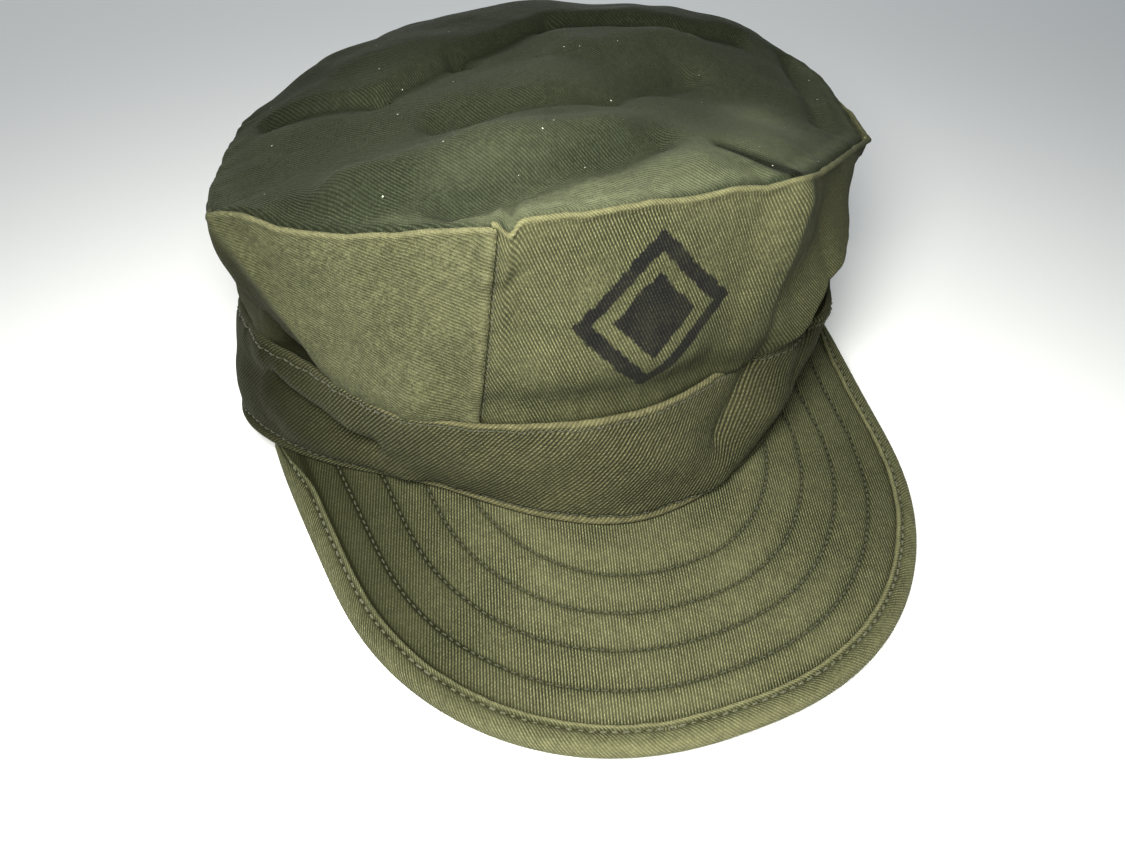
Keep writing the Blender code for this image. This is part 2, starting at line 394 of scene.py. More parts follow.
# Creases of the top in plan, in millimetres: the longest one crosses it from left to right.
LONG_CREASE = ((-75, 15), (-45, 5), (-20, 19), (13, 32), (50, 20), (72, 18))
FRONT_CREASE = ((-35, -21), (8, -24), (40, -8))
# Its other folds: start, end, height, width and, where one side differs, how steep.
TOP_FOLDS = (
    ((35, -75), (24, -59), -2.0, 2.2, 2.2),
    ((44, -46), (42, -56), 1.6, 9.0),
    ((87, 9), (74, -32), -3.4, 4.0),
    ((-62, -40), (0, -45), 3.8, 8.0),
    ((-44, -62), (10, -53), -3.8, 5.5),
    ((-20, -8), (46, 10), 1.6, 8.0),
)


def top_folds(x, y):
    """Creases of the flat top: height, over millimetres in plan."""
    up = fold_along(x, y, LONG_CREASE, -3.8, 2.6, 2.6)
    up += fold_along(x, y, FRONT_CREASE, -3.4, 4.6)
    for line in TOP_FOLDS:
        up += fold(x, y, *line)
    up += 1.5 * WRINKLE(x + 200, y + 90, 24) + 0.4 * WRINKLE(x, y + 300, 10)
    return up * MM


def crown_top_point(turn, share):
    """A point of the top, share of the way from its middle to the welt."""
    turn, share = np.broadcast_arrays(np.asarray(turn, float), np.asarray(share, float))
    roll = rolled_over(turn)
    edge = crown_edge(turn) + outward(turn) * mix(-0.0006, 0.0020, roll)[..., None]
    blurred = sum(crown_edge_sharp(turn + step * 0.07) for step in range(-4, 5)) / 9
    middle = np.array((0, CROWN_SET_BACK, CROWN_HEIGHT))
    near_edge = smooth((share - 0.72) / 0.28)[..., None]
    spot = mix(middle, mix(blurred, edge, near_edge), share[..., None])
    x = spot[..., 0] / MM
    y = spot[..., 1] / MM
    calm = smooth((1.0 - share) / 0.12)
    rear = smooth((y + 30) / 90)
    dome = mix(FRONT_DOME, REAR_DOME, rear) * (1 - share ** mix(2.4, 6.0, rear))
    spot[..., 2] += dome + top_folds(x, y) * calm
    gather = PUCKER(turn * EDGE_MM, share * 3, 3.0) * bump(share, 0.96, 0.05)
    spot[..., 2] += 0.25 * MM * gather
    spot[..., 2] -= mix(0.0026, 0.0040, roll) * smooth((share - 0.975) / 0.025) + 0.0003
    return spot


def visor_edge(side, inset=0.0):
    """The visor's outline, moved in by inset. side runs from -1 at the left to 1."""
    power = 2 / VISOR_SQUARENESS
    across = np.abs(np.sin(side * PI / 2)) ** power * np.sign(side)
    ahead = np.abs(np.cos(side * PI / 2)) ** power
    end_y = -BAND_HALF_DEPTH * np.cos(VISOR_HALF_ANGLE)
    length = BAND_HALF_DEPTH + VISOR_REACH + end_y
    taper = np.where(side > 0, VISOR_TAPER_RIGHT, VISOR_TAPER_LEFT)
    taper = taper * bump(np.abs(side), 0.84, 0.17)
    return (VISOR_HALF_WIDTH - taper - inset) * across, end_y - (length - inset) * ahead


def inside_band(x, y, tuck):
    """True where a spot lies within the headband's foot, moved in by tuck."""
    angle = np.arctan2(x / BAND_HALF_WIDTH, -y / BAND_HALF_DEPTH)
    foot_x, foot_y = foot_spot(angle, -tuck)
    return np.hypot(x, y) < np.hypot(foot_x, foot_y)


DEEPEST_INSET = 0.09
HALVINGS = 24


def root_inset(side, tuck):
    """How far in from the outline the visor meets the headband, found by halving."""
    low = np.zeros_like(side)
    high = np.full_like(side, DEEPEST_INSET)
    for _ in range(HALVINGS):
        middle = (low + high) / 2
        within = inside_band(*visor_edge(side, middle), tuck)
        high = np.where(within, middle, high)
        low = np.where(within, low, middle)
    return low


def visor_relief(x, y, inset):
    """Fine relief of the visor's cover: pinched stitch rows, puckers beside them and waves."""
    relief = np.zeros_like(inset)
    for row in ROW_INSETS:
        relief -= 0.40 * bump(inset, row, 0.0008) + 0.12 * bump(inset, row, 0.0026)
    relief += 0.20
    shrink = bump(inset % ROW_SPACING, ROW_INSETS[0] % ROW_SPACING, 0.0024)
    relief += 0.10 * shrink * PUCKER(x / MM, y / MM * 0.3, 2.6)
    relief += 0.16 * WRINKLE(x / MM, y / MM + 70, 6.0) + 0.30 * WRINKLE(x / MM, y / MM, 19)
    return relief * MM


def visor_top(x, y, inset):
    return visor_underside(x, y) + VISOR_THICKNESS + visor_relief(x, y, inset)


# ---- meshes


def new_mesh(name, points, faces, cloth, wear_and_painted_light=None):
    """An object from points in the cap's frame, with where each lies on its cloth, its wear and its
    painted light.

    Above 0 the cloth is paler, where it is rubbed and where highlights are painted on; below 0 is
    painted shade.
    """
    mesh = bpy.data.meshes.new(name)
    placed = points.reshape(-1, 3) + np.array((0, MOVE_BACK, 0))
    mesh.from_pydata(placed.tolist(), [], faces)
    mesh.shade_smooth()
    spot = mesh.attributes.new("cloth", "FLOAT_VECTOR", "POINT")
    spot.data.foreach_set("vector", cloth.reshape(-1).astype(np.float32))
    wear_and_light = mesh.attributes.new("wear_and_painted_light", "FLOAT", "POINT")
    values = np.zeros(len(mesh.vertices)) if wear_and_painted_light is None else wear_and_painted_light.reshape(-1)
    wear_and_light.data.foreach_set("value", values.astype(np.float32))
    piece = bpy.data.objects.new(name, mesh)
    bpy.context.scene.collection.objects.link(piece)
    return piece


def grid_faces(rows, columns, ring=False, tube=False, flip=False):
    """Quads over a grid of points, closed round the columns (ring) or the rows (tube)."""
    row = np.arange(rows if tube else rows - 1)
    column = np.arange(columns if ring else columns - 1)
    row, column = np.meshgrid(row, column, indexing="ij")
    row, column = row.ravel(), column.ravel()
    over = (row + 1) % rows
    beside = (column + 1) % columns
    corners = (
        row * columns + column,
        row * columns + beside,
        over * columns + beside,
        over * columns + column,
    )
    faces = np.stack(corners, axis=1)
    return faces[:, ::-1] if flip else faces


def grid_piece(name, points, cloth, wear_and_painted_light=None, ring=False, tube=False, flip=False):
    """points and cloth are (rows, columns, 3) in the cap's frame."""
    faces = grid_faces(points.shape[0], points.shape[1], ring, tube, flip)
    return new_mesh(name, points, faces.tolist(), cloth, wear_and_painted_light)


def thicken(piece, thickness, offset=-1.0, lining=0):
    """Gives a surface its thickness. lining counts on from its material to its inner faces'."""
    solid = piece.modifiers.new("Thickness", "SOLIDIFY")
    solid.material_offset = lining
    solid.thickness = thickness
    solid.offset = offset
    solid.use_quality_normals = True


def finish_piece(piece, node, material):
    piece.data.materials.append(material)
    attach(piece, "root")
    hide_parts(node)


# ---- stitches

# Length, spacing and radius of each seam's stitches.
SIDE_SEAM_STITCH = (0.0020, 0.0026, 0.00020)
CROWN_EDGE_STITCH = (0.0022, 0.0027, 0.00020)
HEADBAND_STITCH = (0.0019, 0.0025, 0.00022)
VISOR_ROW_STITCH = (0.0015, 0.0023, 0.00022)
BINDING_STITCH = (0.0018, 0.0027, 0.00030)
# Rings of one stitch: how far along it, how thick and how high, in shares of its radius.
STITCH_SHARES = np.array((0.0, 0.12, 0.32, 0.68, 0.88, 1.0))
STITCH_GIRTHS = np.array((0.35, 0.85, 1.0, 1.0, 0.85, 0.35))
STITCH_LIFTS = np.array((-0.9, 0.1, 0.55, 0.55, 0.1, -0.9))
STITCH_SIDES = 6


def path_length(points):
    """How far along a path each of its points lies."""
    steps = np.linalg.norm(np.diff(points, axis=0), axis=1)
    return np.concatenate(((0.0,), np.cumsum(steps)))


def along_path(points, pitch):
    """Where evenly spaced stitches start along a path, and a way to read values along it."""
    travelled = path_length(points)
    count = int(travelled[-1] / pitch)
    starts = (np.arange(count) + 0.2) * pitch

    def at(distance, values):
        found = [np.interp(distance, travelled, values[:, axis]) for axis in range(3)]
        return np.stack(found, axis=-1)

    return starts, at


def stitch_rings(points, normals, seed, stitch):
    """The rings of points round each stitch of one run."""
    length, pitch, radius = stitch
    random = np.random.RandomState(seed)
    starts, at = along_path(points, pitch)
    count = len(starts)
    lengths = length * random.uniform(0.9, 1.08, count)
    distance = starts[:, None] + STITCH_SHARES[None, :] * lengths[:, None]
    middle = at(distance, points)
    normal = at(distance, normals)
    normal /= np.linalg.norm(normal, axis=-1, keepdims=True)
    tangent = at(distance + 1e-4, points) - at(distance - 1e-4, points)
    tangent /= np.linalg.norm(tangent, axis=-1, keepdims=True) + 1e-12
    sideways = np.cross(tangent, normal)
    slant = random.uniform(-0.1, 0.1, count) * MM
    lean = (STITCH_SHARES - 0.5)[None, :] * 2 * slant[:, None]
    middle = middle + sideways * lean[..., None]
    middle = middle + normal * (STITCH_LIFTS * radius)[None, :, None]
    turn = np.arange(STITCH_SIDES) * 2 * PI / STITCH_SIDES
    girth = (STITCH_GIRTHS * radius)[None, :, None, None]
    around = sideways[:, :, None, :] * np.cos(turn)[:, None]
    around = around + normal[:, :, None, :] * np.sin(turn)[:, None] * 0.8
    return middle[:, :, None, :] + around * girth


def stitch_piece(name, runs, seed, stitch):
    """One mesh holding every stitch of one or more runs, each run being (points, normals)."""
    length, _, radius = stitch
    all_rings = [
        stitch_rings(points, normals, seed + number, stitch)
        for number, (points, normals) in enumerate(runs)
    ]
    rings = np.concatenate(all_rings)
    count, levels, sides, _ = rings.shape
    one = grid_faces(levels, sides, ring=True)
    size = levels * sides
    quads = (one[None] + np.arange(count)[:, None, None] * size).reshape(-1, 4)
    faces = quads.tolist()
    for number in range(count):
        first = number * size
        last = first + size - sides
        faces.append([first + side for side in reversed(range(sides))])
        faces.append([last + side for side in range(sides)])
    around = np.tile(np.arange(sides) / sides, count * levels)
    ahead = np.repeat(np.tile(STITCH_SHARES * length, count), sides)
    each = np.repeat(np.arange(count) * 0.013, size)
    cloth = np.stack((ahead + each, around * radius * 6, each), axis=-1)
    return new_mesh(name, rings, faces, cloth)


def straight_up(count):
    return np.tile((0, 0, 1.0), (count, 1))


# ---- materials


def linear(channel):
    """A display colour's channel, 0 to 255, as linear light."""
    value = channel / 255
    return value / 12.92 if value <= 0.04045 else ((value + 0.055) / 1.055) ** 2.4


def tint(colour, share=1.0):
    return (*(linear(c) * share for c in colour), 1)


def shifted(colour, shift):
    return tuple(channel + step for channel, step in zip(colour, shift))


class Graph:
    """Short names for the shader nodes that the cloth materials share."""

    def __init__(self, name):
        self.material = bpy.data.materials.new(name)
        self.material.use_nodes = True
        self.nodes = self.material.node_tree.nodes
        self.links = self.material.node_tree.links
        self.shader = self.nodes["Principled BSDF"]

    def put(self, socket, value):
        if isinstance(value, bpy.types.NodeSocket):
            self.links.new(value, socket)
        elif value is not None:
            socket.default_value = value

    def surface(self, name, value):
        self.put(self.shader.inputs[name], value)

    def times(self, a, b):
        return self.math("MULTIPLY", a, b)

    def math(self, operation, a, b=None, clamp=False):
        node = self.nodes.new("ShaderNodeMath")
        node.operation = operation
        node.use_clamp = clamp
        for socket, value in zip(node.inputs, (a, b)):
            self.put(socket, value)
        return node.outputs[0]

    def attribute(self, name, vector=False):
        node = self.nodes.new("ShaderNodeAttribute")
        node.attribute_name = name
        return node.outputs["Vector"] if vector else node.outputs["Fac"]

    def noise(self, vector, size, detail=2.0, roughness=0.5):
        node = self.nodes.new("ShaderNodeTexNoise")
        self.put(node.inputs["Vector"], vector)
        node.inputs["Scale"].default_value = 1 / size
        node.inputs["Detail"].default_value = detail
        node.inputs["Roughness"].default_value = roughness
        return node.outputs["Fac"]

    def split(self, vector):
        node = self.nodes.new("ShaderNodeSeparateXYZ")
        self.put(node.inputs[0], vector)
        return node.outputs["X"], node.outputs["Y"], node.outputs["Z"]

    def dot(self, a, b):
        node = self.nodes.new("ShaderNodeVectorMath")
        node.operation = "DOT_PRODUCT"
        self.put(node.inputs[0], a)
        self.put(node.inputs[1], b)
        return node.outputs["Value"]

    def blend(self, share, a, b):
        node = self.nodes.new("ShaderNodeMix")
        node.data_type = "RGBA"
        self.put(node.inputs["Factor"], share)
        self.put(node.inputs["A"], a)
        self.put(node.inputs["B"], b)
        return node.outputs["Result"]

    def stretch(self, value, low, high, out_low=0.0, out_high=1.0):
        node = self.nodes.new("ShaderNodeMapRange")
        self.put(node.inputs["Value"], value)
        node.inputs["From Min"].default_value = low
        node.inputs["From Max"].default_value = high
        node.inputs["To Min"].default_value = out_low
        node.inputs["To Max"].default_value = out_high
        return node.outputs["Result"]

    def bump(self, height, distance, normal=None):
        node = self.nodes.new("ShaderNodeBump")
        self.put(node.inputs["Height"], height)
        node.inputs["Distance"].default_value = distance
        node.inputs["Strength"].default_value = 1.0
        self.put(node.inputs["Normal"], normal)
        return node.outputs["Normal"]


def weave(graph, spot, angle, pitch):
    """Height, 0 to 1, of a twill whose ridges run at angle degrees across the cloth."""
    turn = np.radians(angle)
    across = (-np.sin(turn), np.cos(turn), 0)
    along = (np.cos(turn), np.sin(turn), 0)
    sway = graph.times(graph.noise(spot, 0.005, 2.0), 1.6)
    phase = graph.times(graph.dot(spot, across), 2 * PI / pitch)
    phase = graph.math("ADD", phase, sway)
    ridge = graph.stretch(graph.math("SINE", phase), -0.50, 0.90)
    step = graph.times(graph.dot(spot, along), 2 * PI / (1.25 * pitch))
    float_phase = graph.math("ADD", step, graph.times(phase, 0.6))
    yarn = graph.stretch(graph.math("SINE", float_phase), -1.0, 0.1, 0.55, 1.0)
    broken = graph.stretch(graph.noise(spot, 0.0008, 2.0, 0.7), 0.32, 0.62, 0.35, 1.0)
    return graph.times(graph.times(ridge, yarn), broken)


# What is added to a cloth's colour between its ridges, where it is rubbed pale and where highlights
# are painted on, and where shade is painted on.
GROOVE_SHIFT = (0, 2, -8)
RUBBED_AND_LIT_SHIFT = (5, 2, 1)
PAINTED_SHADE_SHIFT = (0, 2, -14)
INK = (20, 20, 23)
LINT = (196, 200, 186)
LINT_SPACING = 0.0042
SHEEN = (190, 196, 170)


def cloth_material(name, colour, angle, pitch, contrast, plain, lint=0.0, mark=None, rub_and_light=2.6):
    """Twill worn by use, with painted highlights and painted shade. angle, in degrees, and pitch
    place its ridges on the cloth.

    contrast is how far the ridges stand out in tone, plain is the share of the cloth where
    they are lost (below 0 for none), lint is the share of spots that hold a fleck, mark draws
    ink on the cloth, and rub_and_light is how pale the rubbed places and painted highlights are.
    """
    graph = Graph(name)
    spot = graph.attribute("cloth", vector=True)
    height = weave(graph, spot, angle, pitch)
    patches = graph.noise(spot, 0.030, 3.0, 0.55)
    motes = graph.noise(spot, 0.0022, 3.0, 0.65)
    dark = tint(shifted(colour, GROOVE_SHIFT), 1 - contrast)
    light = tint(colour, 1 + 1.6 * contrast)
    clear = graph.stretch(graph.noise(spot, 0.010, 3.0, 0.6), 0.30, 0.55, 0.45 - plain, 1.0 - plain)
    heather = graph.stretch(graph.noise(spot, 0.0009, 3.0, 0.8), 0.32, 0.72, 0.0, 0.65)
    tone = graph.nodes.new("ShaderNodeMix")
    graph.put(tone.inputs["Factor"], clear)
    graph.put(tone.inputs["A"], heather)
    graph.put(tone.inputs["B"], height)
    ridges = graph.times(tone.outputs[0], 0.85)
    fibres = graph.times(heather, 0.15)
    yarns = graph.blend(graph.math("ADD", ridges, fibres), dark, light)
    fading = graph.stretch(patches, 0.35, 0.70, 0.0, 0.25)
    faded = graph.blend(fading, yarns, tint(colour, 1.7))
    soiling = graph.stretch(motes, 0.30, 0.60, 0.40, 0.0)
    soiled = graph.blend(soiling, faded, tint(colour, 0.30))
    wear_and_light = graph.attribute("wear_and_painted_light")
    patchy = graph.stretch(motes, 0.3, 0.7, 0.6, 1.0)
    # Where the attribute is above 0 the cloth is paler: rubbed places and painted highlights.
    rubbed_and_lit = graph.times(graph.math("MAXIMUM", wear_and_light, 0.0), patchy)
    shown = graph.blend(rubbed_and_lit, soiled, tint(shifted(colour, RUBBED_AND_LIT_SHIFT), rub_and_light))
    # Where it is below 0, painted shade darkens the cloth.
    painted_shade = graph.math("MAXIMUM", graph.times(wear_and_light, -1.0), 0.0)
    shown = graph.blend(painted_shade, shown, tint(shifted(colour, PAINTED_SHADE_SHIFT), 0.12))
    if mark is not None:
        shown = graph.blend(mark(graph, spot, height, motes), shown, tint(INK))
    if lint:
        specks = graph.nodes.new("ShaderNodeTexVoronoi")
        graph.put(specks.inputs["Vector"], spot)
        specks.inputs["Scale"].default_value = 1 / LINT_SPACING
        near = graph.math("LESS_THAN", specks.outputs["Distance"], 0.045)
        chosen = graph.math("GREATER_THAN", graph.split(specks.outputs["Color"])[0], 1 - lint)
        shown = graph.blend(graph.times(near, chosen), shown, tint(LINT))
    graph.surface("Base Color", shown)
    graph.surface("Roughness", graph.stretch(motes, 0.2, 0.8, 0.82, 0.98))
    graph.surface("Specular IOR Level", 0.14)
    graph.surface("Sheen Weight", 0.06)
    graph.surface("Sheen Roughness", 0.5)
    graph.surface("Sheen Tint", tint(SHEEN))
    creased = graph.bump(graph.noise(spot, 0.006, 3.0, 0.6), 0.0008)
    fuzzy = graph.bump(graph.noise(spot, 0.0006, 2.0, 0.7), 0.00012, creased)
    graph.surface("Normal", graph.bump(height, 0.00022, fuzzy))
    return graph.material


PLY_LENGTH = 0.0007
PLY_WIDTH = 0.0009


def thread_material(name, colour):
    """Twisted thread: two tones wind round it."""
    graph = Graph(name)
    spot = graph.attribute("cloth", vector=True)
    turn = graph.dot(spot, (1 / PLY_LENGTH, 1 / PLY_WIDTH, 0))
    ply = graph.stretch(graph.math("SINE", graph.times(turn, 2 * PI)), -1.0, 1.0)
    tone = graph.noise(spot, 0.02, 2.0)
    colours = graph.blend(ply, tint(colour, 0.7), tint(colour, 1.2))
    fading = graph.stretch(tone, 0.3, 0.7, 0.0, 0.4)
    graph.surface("Base Color", graph.blend(fading, colours, tint(colour, 1.5)))
    graph.surface("Roughness", graph.stretch(tone, 0.2, 0.8, 0.6, 0.8))
    graph.surface("Specular IOR Level", 0.3)
    graph.surface("Sheen Weight", 0.2)
    graph.surface("Normal", graph.bump(ply, 0.00006))
    return graph.material


CARD_DARK = (176, 166, 140)
CARD_LIGHT = (210, 203, 180)


def board_material(name):
    """Plain buff card."""
    graph = Graph(name)
    spot = graph.attribute("cloth", vector=True)
    pulp = graph.noise(spot, 0.0012, 4.0, 0.7)
    graph.surface("Base Color", graph.blend(pulp, tint(CARD_DARK), tint(CARD_LIGHT)))
    graph.surface("Roughness", graph.stretch(pulp, 0.3, 0.7, 0.75, 0.95))
    graph.surface("Normal", graph.bump(pulp, 0.0001))
    return graph.material


# Where the mark lies on the front panel's cloth.
MARK_CENTRE = (0.0395, 0.026)
MARK_HALF_WIDTH = 0.0205
MARK_HALF_HEIGHT = 0.0195


def front_mark(graph, spot, height, motes):
    """A plain ink mark in no one's style: a diamond outline round a smaller solid diamond."""
    x, y, _ = graph.split(spot)
    dx = graph.math("ABSOLUTE", graph.math("SUBTRACT", x, MARK_CENTRE[0]))
    dy = graph.math("ABSOLUTE", graph.math("SUBTRACT", y, MARK_CENTRE[1]))
    wide = graph.math("DIVIDE", dx, MARK_HALF_WIDTH)
    high = graph.math("DIVIDE", dy, MARK_HALF_HEIGHT)
    reach = graph.math("ADD", wide, high)
    ragged = graph.math("ADD", reach, graph.stretch(motes, 0.2, 0.8, -0.05, 0.05))
    outer = graph.stretch(ragged, 1.0, 0.96)
    hollow = graph.stretch(ragged, 0.76, 0.72)
    core = graph.stretch(ragged, 0.52, 0.48)
    frame_share = graph.math("SUBTRACT", outer, hollow, clamp=True)
    ink = graph.math("MAXIMUM", frame_share, core, clamp=True)
    cover = graph.stretch(height, 0.1, 0.8, 1.0, 0.86)
    patchy = graph.stretch(graph.noise(spot, 0.007, 3.0), 0.3, 0.6, 0.84, 1.0)
    return graph.times(graph.times(ink, cover), patchy)


# ---- crown

TURN_STEPS = 8 * 52
TOP_RINGS = 96
PANEL_COLUMNS = 240
PANEL_LEVELS = 84


def build_crown_top(material):
    turn = np.arange(TURN_STEPS) * 8 / TURN_STEPS
    share = 1 - (1 - np.linspace(0.004, 1, TOP_RINGS)) ** 1.25
    share = share[:, None]
    points = crown_top_point(turn[None, :], share)
    cloth = points.copy()
    cloth[..., 2] = 0
    x = points[..., 0] / MM
    y = points[..., 1] / MM
    # Rubbed pale along the rim; painted highlights on the front left and in two patches at the
    # front right.
    wear_and_painted_light = 0.15 * bump(share, 0.95, 0.02) + 0 * x
    wear_and_painted_light += fold(x, y, (20, -66), (34, -60), 0.2, 14.0)
    wear_and_painted_light += 0.40 * bump(x, 49, 10) * bump(y, -38, 13)
    wear_and_painted_light += 0.55 * bump(y, -70, 20) * bump(x, -18, 30)
    # Painted shade at the welt, in the creases and towards the rear and the left.
    wear_and_painted_light -= 0.9 * bump(share, 1.0, 0.018)
    wear_and_painted_light -= fold(x, y, (37, -78), (24, -59), 2.2, 1.3, 1.5)
    wear_and_painted_light -= fold(x, y, (-44, -60), (10, -52), 0.28, 6.0)
    wear_and_painted_light -= fold_along(x, y, LONG_CREASE, 0.40, 1.0)
    wear_and_painted_light -= fold_along(x, y, FRONT_CREASE, 0.22, 5.0)
    wear_and_painted_light -= 0.55 * smooth((y - 4) / 30)
    wear_and_painted_light -= 0.30 * smooth((-x - 40) / 30) * smooth((y + 70) / 30)
    piece = grid_piece("crown_top_cloth", points, cloth, wear_and_painted_light, ring=True)
    thicken(piece, CLOTH)
    finish_piece(piece, "crown_top", material)


def welt_profile():
    """Steps round a side panel's rolled top: (out, up) from the crown's edge."""
    steps = []
    for degrees in range(-30, 211, 30):
        angle = np.radians(degrees)
        steps.append((WELT_RADIUS * (np.cos(angle) - 0.25), WELT_RADIUS * np.sin(angle)))
    return steps


SEAM_LAP = 0.012


def panel_wear_and_light(name, number, turn, level):
    """Wear and painted light of a side panel, over corners round and a share of the way up."""
    first = 2 * number
    # Rubbed pale on the welt, and a painted highlight on the right-hand seam's lapping edge.
    wear_and_painted_light = 0.45 * bump(level, 1.03, 0.035) + 0 * turn
    wear_and_painted_light += 0.10 * smooth((turn - (first + 1.975)) / 0.02)
    # Painted shade under the welt, beside the left-hand seam, at the foot and at the right of the
    # front.
    wear_and_painted_light -= 0.8 * bump(level, 1.10, 0.02)
    wear_and_painted_light -= 0.22 * bump(turn, first + 0.015, 0.014) * smooth((0.985 - level) / 0.03)
    wear_and_painted_light -= 0.5 * bump(level, 0.0, 0.02)
    wear_and_painted_light -= 0.42 * bump(turn, 1.75, 0.6)
    wear_and_painted_light -= 0.50 * bump(level, 0.08, 0.17) * bump(turn, 0.8, 0.7)
    if name == "left":
        # Painted shade on the left panel behind its slanting fold and near its left corner.
        x = (turn - 8) * EDGE_MM
        y = level * PANEL_MM
        across = FACET_FOOT[0] - FACET_HEAD[0]
        down = FACET_HEAD[1] - FACET_FOOT[1]
        behind = (FACET_HEAD[1] - y) * across - (x - FACET_HEAD[0]) * down
        wear_and_painted_light -= 0.62 * smooth(behind / FACET_LENGTH / 5) * smooth((x + 140) / 30)
        wear_and_painted_light -= 0.30 * bump(x, -70, 12)
    return wear_and_painted_light


def build_side_panel(number, name, material, lining):
    first = 2 * number
    last = first + 2
    # The right-hand edge laps a little over the next panel's left-hand edge.
    turn = first - 0.004 + (2 + 0.008) * np.linspace(0, 1, PANEL_COLUMNS)
    turn = np.concatenate((turn[:-1], [last + SEAM_LAP, last + SEAM_LAP * 0.9]))
    over = 0.0006 * smooth((turn - (first + 1.93)) / 0.06)
    under = -0.0006 * smooth(((first + 0.06) - turn) / 0.05)
    out = over + under
    out[-1] -= 0.0006
    levels = np.linspace(-0.10, 0.975, PANEL_LEVELS)
    rows = [side_crown(turn, level, out) for level in levels]
    edge = crown_edge(turn)
    away = outward(turn)
    lift = np.array((0, 0, 1.0))
    # Where the top rolls over the edge, the welt lies flat beneath it.
    hidden = rolled_over(turn)
    thin = 1 - 0.5 * smooth((turn - (first + 1.99)) / 0.01)
    thin = thin * (1 - 0.9 * hidden)
    tucked = 0.0012 * hidden
    for step_out, step_up in welt_profile():
        reach = mix(step_out, 0.0, hidden) + out * 0.6
        shift = away * reach[:, None] + lift * (step_up * thin - tucked)[:, None]
        rows.append(edge + shift)
    rows.append(edge - away * 0.0012 - lift * 0.0045)
    points = np.stack(rows)
    level = np.concatenate((levels, np.linspace(0.99, 1.09, len(rows) - PANEL_LEVELS)))
    across = (turn - first)[None, :] * EDGE_MM * MM
    cloth = stack(across, level[:, None] * PANEL_MM * MM, 0.1 * number)
    wear_and_painted_light = panel_wear_and_light(name, number, turn[None, :], level[:, None])
    piece = grid_piece(f"side_panel_{name}_cloth", points, cloth, wear_and_painted_light)
    thicken(piece, CLOTH, lining=1)
    finish_piece(piece, f"side_panel_{name}", material)
    piece.data.materials.append(lining)


def build_crown_threads(material):
    share = np.linspace(0.03, 0.94, 60)
    for number in range(4):
        turn = np.full(share.shape, 2.0 * number + 0.022)
        points = side_crown(turn, share, -0.0005)
        runs = [(points, outward(turn))]
        name = f"side_seam_thread_{number + 1}"
        piece = stitch_piece(name, runs, 40 + number, SIDE_SEAM_STITCH)
        finish_piece(piece, f"side_seam_stitch_{number + 1}", material)
    turn = np.linspace(0, 8, 900)
    points = crown_edge(turn) - outward(turn) * 0.0012 - np.array((0, 0, 0.0016))
    runs = [(points, straight_up(len(turn)))]
    piece = stitch_piece("crown_edge_thread", runs, 50, CROWN_EDGE_STITCH)
    finish_piece(piece, "crown_edge_stitch", material)


# ---- bands

BAND_COLUMNS = 720


HEM_RADIUS = 0.0011
BAND_ROLL_RADIUS = 0.0008


def band_section():
    """(rise, out) of the headband's double cloth: hem, outer wall, rolled top, inner wall."""
    section = [(0.0, 0.0)]
    for degrees in (-60, -30, 0, 30, 60, 85):
        angle = np.radians(degrees)
        rise = HEM_RADIUS + HEM_RADIUS * np.sin(angle)
        section.append((rise, 0.0007 + HEM_RADIUS * np.cos(angle)))
    section.append((HEM_HEIGHT + 0.0003, 0.0004))
    section.append((HEM_HEIGHT + 0.0009, 0.0004))
    for rise in np.linspace(HEM_HEIGHT + 0.0016, BAND_HEIGHT - 0.0030, 50):
        section.append((rise, BAND_WALL + 0.0002))
    section.append((BAND_HEIGHT - 0.0023, BAND_WALL + 0.0001))
    section.append((BAND_HEIGHT - 0.0017, BAND_WALL - 0.00015))
    section.append((BAND_HEIGHT - 0.0011, BAND_WALL + 0.0001))
    for degrees in (20, 50, 90, 130, 160):
        angle = np.radians(degrees)
        rise = BAND_HEIGHT - BAND_ROLL_RADIUS + BAND_ROLL_RADIUS * np.sin(angle)
        section.append((rise, 0.00085 * np.cos(angle)))
    for rise in np.linspace(BAND_HEIGHT - 0.003, 0.002, 14):
        section.append((rise, -BAND_WALL))
    return np.array(section)


def build_headband(material):
    angle = np.arange(BAND_COLUMNS) * 2 * PI / BAND_COLUMNS
    section = band_section()
    points = np.stack([band_surface(angle, rise, out) for rise, out in section])
    degrees = degrees_round(angle)[None, :]
    cloth = stack(degrees * MM_PER_DEGREE * MM, path_length(section)[:, None], 0)
    # The outer face is rubbed pale along both edges, with painted shade in the hem's stitch groove.
    rise = section[:, :1]
    outer = (section[:, 1:] > -0.0001) * 1.0
    wear_and_painted_light = 0.35 * bump(rise, 0.0015, 0.0012) * outer + 0 * degrees
    wear_and_painted_light += 0.40 * bump(rise, BAND_HEIGHT, 0.0009) * outer
    wear_and_painted_light -= 0.35 * bump(rise, HEM_HEIGHT + 0.0007, 0.0006) * outer
    # Painted shade at the left and in two places at the right.
    for middle, width, amount in ((-80, 30, 1.0), (40, 20, 0.66), (72, 16, 0.35)):
        wear_and_painted_light -= amount * bump(degrees, middle, width)
    piece = grid_piece("headband_cloth", points, cloth, wear_and_painted_light, ring=True, tube=True)
    finish_piece(piece, "headband", material)


def sweatband_section():
    """(rise, out) of the sweatband: a turned edge, the flat wall and the other turned edge."""
    foot = [(0.0006, -0.0014), (0.0004, -0.0018), (0.0010, -0.0022)]
    wall = [(rise, -0.0021) for rise in np.linspace(0.0016, 0.0290, 26)]
    head = [(0.0298, -0.0021), (0.0303, -0.0018), (0.0300, -0.0014)]
    return np.array(foot + wall + head)


